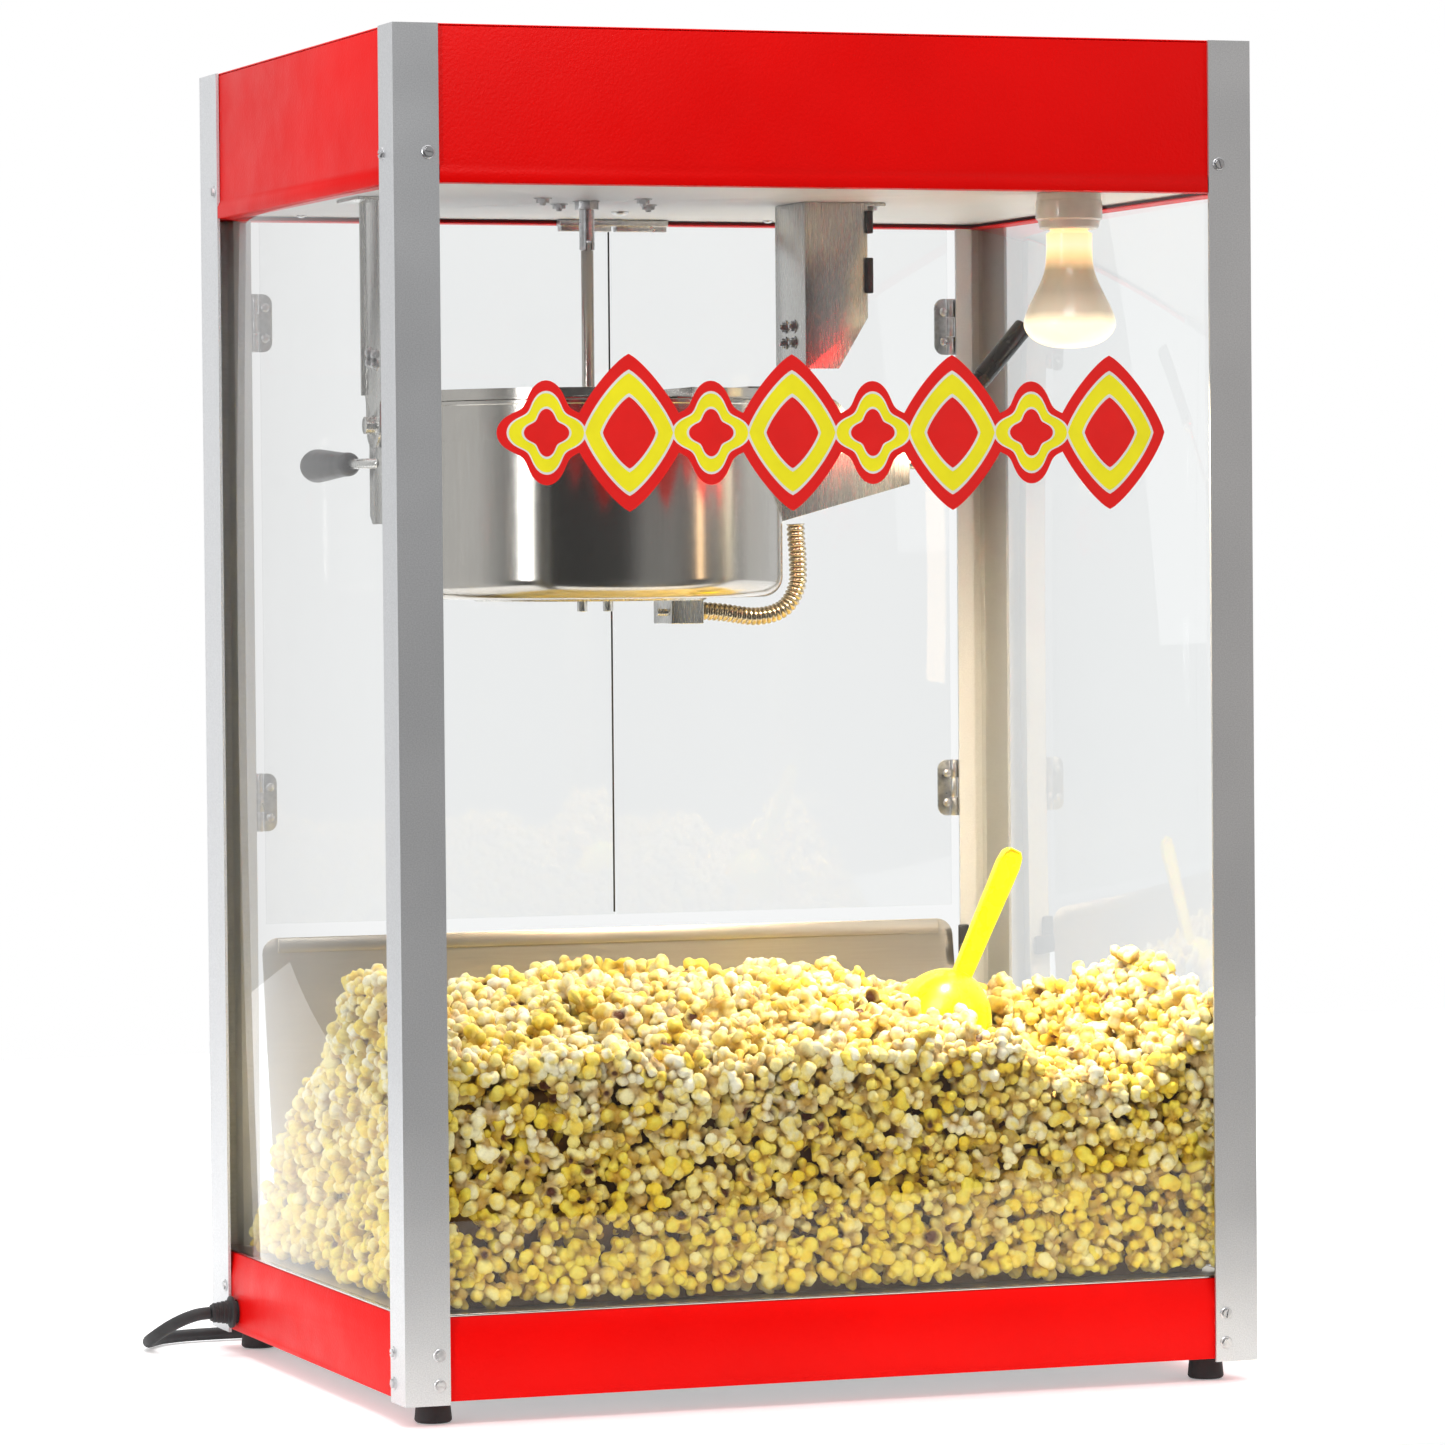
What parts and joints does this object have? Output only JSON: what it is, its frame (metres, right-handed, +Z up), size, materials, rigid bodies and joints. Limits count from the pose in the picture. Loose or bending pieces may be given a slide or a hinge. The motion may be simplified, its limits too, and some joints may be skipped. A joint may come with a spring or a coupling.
{
  "type": "popcorn maker",
  "caption": "Glazed countertop popcorn cabinet with red header and base, tilting kettle with stirrer and lids, rear doors, drop gate, kernel drawer, lamp and scoop.",
  "frame": {"origin": "centre of the cabinet footprint, on the surface the feet stand on", "axes": "+Z up, +X to the right as seen from the front, +Y towards the rear service side; the front glass faces -Y"},
  "size_m": [0.6687, 0.6687, 0.916],
  "materials": {
    "red_powder_coat": "satin",
    "satin_aluminium": "satin",
    "brushed_stainless": "satin",
    "zinc_plated_steel": "satin",
    "white_enamel": "satin",
    "clear_glass": "gloss",
    "clear_acrylic": "gloss",
    "black_rubber": "matte",
    "black_plastic": "satin",
    "porcelain": "gloss",
    "lamp_glass": "satin",
    "popped_corn": "matte",
    "yellow_plastic": "gloss"
  },
  "bodies": {
    "cabinet": {"base_skirt": "red_powder_coat", "header_shell": "red_powder_coat", "top_cover": "red_powder_coat", "base_floor": "zinc_plated_steel", "door_catch": "zinc_plated_steel", "drive_motor": "zinc_plated_steel", "base_trim": "brushed_stainless", "corn_deck": "brushed_stainless", "kettle_arm_left": "brushed_stainless", "kettle_arm_right": "brushed_stainless", "ceiling_plate": "white_enamel", "front_glass": "clear_glass", "left_glass": "clear_glass", "right_glass": "clear_glass", "switch_plate": "black_plastic", "gate_catch": "black_plastic", "strain_relief": "black_rubber", "power_cord": "black_rubber", "cord_coil": "black_rubber", "power_plug": "black_rubber", "lamp_socket": "porcelain", "lamp_bulb": "lamp_glass", "popcorn_heap": "popped_corn", "foot_front_left": "black_rubber", "post_front_left": "satin_aluminium", "foot_front_right": "black_rubber", "post_front_right": "satin_aluminium", "foot_rear_left": "black_rubber", "post_rear_left": "satin_aluminium", "foot_rear_right": "black_rubber", "post_rear_right": "satin_aluminium", "hinge_frame_leaf_left_lower": "zinc_plated_steel", "hinge_frame_leaf_left_upper": "zinc_plated_steel", "hinge_frame_leaf_right_lower": "zinc_plated_steel", "hinge_frame_leaf_right_upper": "zinc_plated_steel"},
    "kernel_drawer_body": {"kernel_drawer": "brushed_stainless"},
    "left_door": {"door_left": "clear_acrylic", "hinge_door_leaf_left_lower": "zinc_plated_steel", "hinge_door_leaf_left_upper": "zinc_plated_steel"},
    "right_door": {"door_right": "clear_acrylic", "hinge_door_leaf_right_lower": "zinc_plated_steel", "hinge_door_leaf_right_upper": "zinc_plated_steel"},
    "gate": {"rear_gate": "brushed_stainless"},
    "kettle": {"kettle_shell": "brushed_stainless", "kettle_collar": "brushed_stainless", "kettle_base_cover": "brushed_stainless", "lid_bar": "brushed_stainless", "trunnion_right": "brushed_stainless", "trunnion_left": "brushed_stainless", "tilt_handle_grip": "black_plastic", "dump_lever": "black_plastic", "kettle_conduit": "zinc_plated_steel"},
    "left_lid": {"kettle_lid_left": "brushed_stainless"},
    "right_lid": {"kettle_lid_right": "brushed_stainless"},
    "stirrer_body": {"stirrer": "brushed_stainless"},
    "coupling": {"drive_coupling": "zinc_plated_steel"},
    "motor_rocker": {"motor_switch": "black_plastic"},
    "kettle_rocker": {"kettle_switch": "black_plastic"},
    "lamp_rocker": {"lamp_switch": "black_plastic"},
    "scoop_body": {"scoop": "yellow_plastic"}
  },
  "joints": [
    {"name": "left_door_hinge", "type": "hinge", "parent": "cabinet", "child": "left_door", "pos_m": [-0.2704, 0.2228, 0.566], "axis": [0, 0, 1], "range_deg": [0, 110]},
    {"name": "right_door_hinge", "type": "hinge", "parent": "cabinet", "child": "right_door", "pos_m": [0.2704, 0.2228, 0.566], "axis": [0, 0, -1], "range_deg": [0, 110]},
    {"name": "gate_drop", "type": "hinge", "parent": "cabinet", "child": "gate", "pos_m": [0, 0.192, 0.077], "axis": [-1, 0, 0], "range_deg": [0, 81]},
    {"name": "kettle_tilt", "type": "hinge", "parent": "cabinet", "child": "kettle", "pos_m": [-0.092, 0, 0.66], "axis": [1, 0, 0], "range_deg": [0, 75]},
    {"name": "left_lid_hinge", "type": "hinge", "parent": "kettle", "child": "left_lid", "pos_m": [-0.108, 0, 0.681], "axis": [0, 1, 0], "range_deg": [0, 80]},
    {"name": "right_lid_hinge", "type": "hinge", "parent": "kettle", "child": "right_lid", "pos_m": [-0.076, 0, 0.681], "axis": [0, -1, 0], "range_deg": [0, 80]},
    {"name": "stirrer_spin", "type": "hinge", "parent": "kettle", "child": "stirrer_body", "pos_m": [-0.092, 0, 0.6], "axis": [0, 0, 1], "continuous": true},
    {"name": "drive_spin", "type": "hinge", "parent": "cabinet", "child": "coupling", "pos_m": [-0.092, 0, 0.8], "axis": [0, 0, 1], "continuous": true},
    {"name": "drawer_slide", "type": "slide", "parent": "cabinet", "child": "kernel_drawer_body", "axis": [0, 1, 0], "range_m": [0, 0.22]},
    {"name": "motor_switch_rock", "type": "hinge", "parent": "cabinet", "child": "motor_rocker", "pos_m": [0.104, 0.2304, 0.866], "axis": [1, 0, 0], "range_deg": [0, 20]},
    {"name": "kettle_switch_rock", "type": "hinge", "parent": "cabinet", "child": "kettle_rocker", "pos_m": [0.15, 0.2304, 0.866], "axis": [1, 0, 0], "range_deg": [0, 20]},
    {"name": "lamp_switch_rock", "type": "hinge", "parent": "cabinet", "child": "lamp_rocker", "pos_m": [0.196, 0.2304, 0.866], "axis": [1, 0, 0], "range_deg": [0, 20]},
    {"name": "scoop_lift", "type": "slide", "parent": "cabinet", "child": "scoop_body", "axis": [0, 0, 1], "range_m": [0, 0.12]}
  ],
  "couplings": [
    {"joint": "drive_spin", "follows": "stirrer_spin", "ratio": 1}
  ]
}
